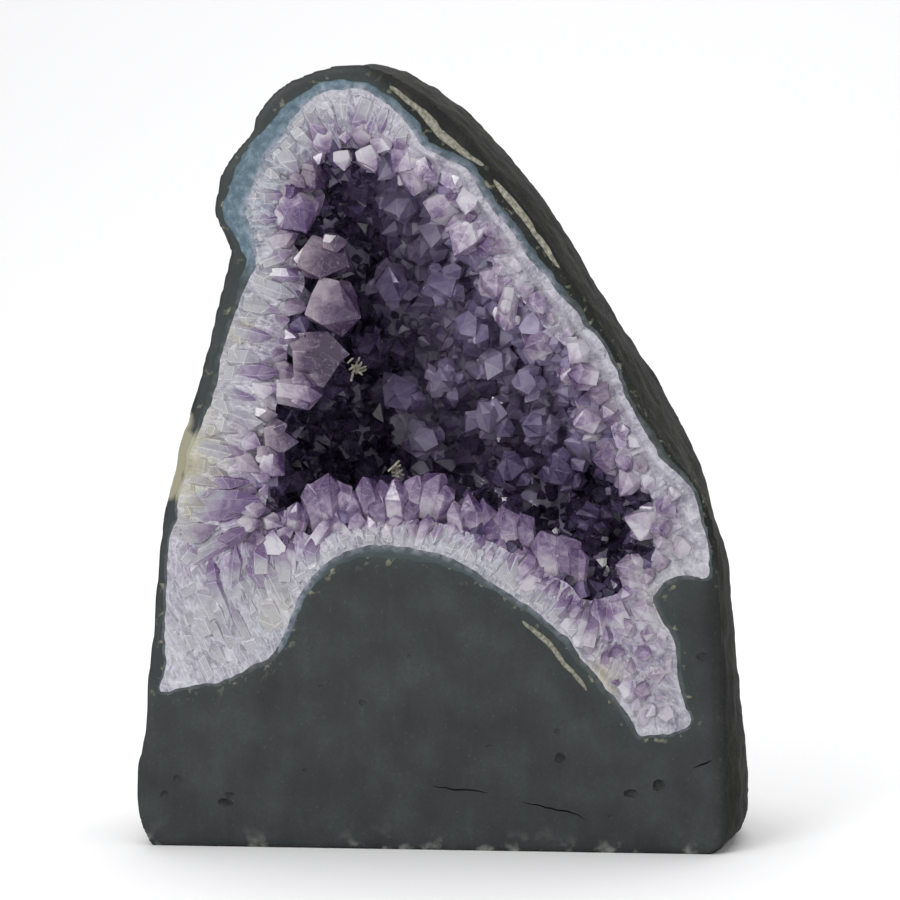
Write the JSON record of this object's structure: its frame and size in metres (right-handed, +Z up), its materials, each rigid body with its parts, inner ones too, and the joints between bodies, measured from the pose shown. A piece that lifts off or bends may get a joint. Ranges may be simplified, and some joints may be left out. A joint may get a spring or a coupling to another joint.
{
  "type": "amethyst geode",
  "caption": "Half of an amethyst cathedral geode, sawn flat in front and underneath, with a crystal-lined hollow in a basalt shell. It stands on its base.",
  "frame": {"origin": "on the flat base, under the centre of the stone's bounding box", "axes": "+Z up, the sawn front faces -Y, +X to the right of someone facing the sawn front"},
  "size_m": [0.238, 0.149, 0.3],
  "materials": {
    "basalt": "sawn and sealed in front, rough elsewhere",
    "agate": "sawn and polished",
    "calcite": "sawn, satin",
    "quartz": "sawn and polished, milky",
    "amethyst": "natural crystal faces, glassy"
  },
  "bodies": {
    "root": {"calcite_seam_upper": "calcite", "calcite_seam_middle": "calcite", "calcite_seam_lower": "calcite", "basalt_shell": "basalt", "agate_rind": "agate", "quartz_layer": "quartz", "amethyst_lining": "amethyst", "rim_crystal_left_1": "amethyst", "rim_crystal_left_2": "amethyst", "rim_crystal_left_3": "amethyst", "rim_crystal_left_4": "amethyst", "rim_crystal_left_5": "amethyst", "rim_crystal_left_6": "amethyst", "rim_crystal_left_7": "amethyst", "rim_crystal_left_8": "amethyst", "rim_crystal_top_1": "amethyst", "rim_crystal_top_2": "amethyst", "rim_crystal_right_1": "amethyst", "rim_crystal_right_2": "amethyst", "rim_crystal_right_3": "amethyst", "rim_crystal_right_4": "amethyst", "rim_crystal_right_5": "amethyst", "rim_crystal_right_6": "amethyst", "rim_crystal_right_7": "amethyst", "rim_crystal_right_8": "amethyst", "rim_crystal_right_9": "amethyst", "rim_crystal_right_10": "amethyst", "rim_crystal_right_11": "amethyst", "rim_crystal_right_12": "amethyst", "rim_crystal_bottom_1": "amethyst", "rim_crystal_bottom_2": "amethyst", "rim_crystal_bottom_3": "amethyst", "rim_crystal_bottom_4": "amethyst", "rim_crystal_bottom_5": "amethyst", "rim_crystal_bottom_6": "amethyst", "rim_crystal_bottom_7": "amethyst", "rim_crystal_bottom_8": "amethyst", "rim_crystal_bottom_9": "amethyst", "wall_crystal_1": "amethyst", "wall_crystal_2": "amethyst", "wall_crystal_3": "amethyst", "wall_crystal_4": "amethyst", "wall_crystal_5": "amethyst", "wall_crystal_6": "amethyst", "wall_crystal_7": "amethyst", "wall_crystal_8": "amethyst", "wall_crystal_9": "amethyst", "wall_crystal_10": "amethyst", "wall_crystal_11": "amethyst", "wall_crystal_12": "amethyst", "wall_crystal_13": "amethyst", "wall_crystal_14": "amethyst", "wall_crystal_15": "amethyst"}
  },
  "joints": []
}
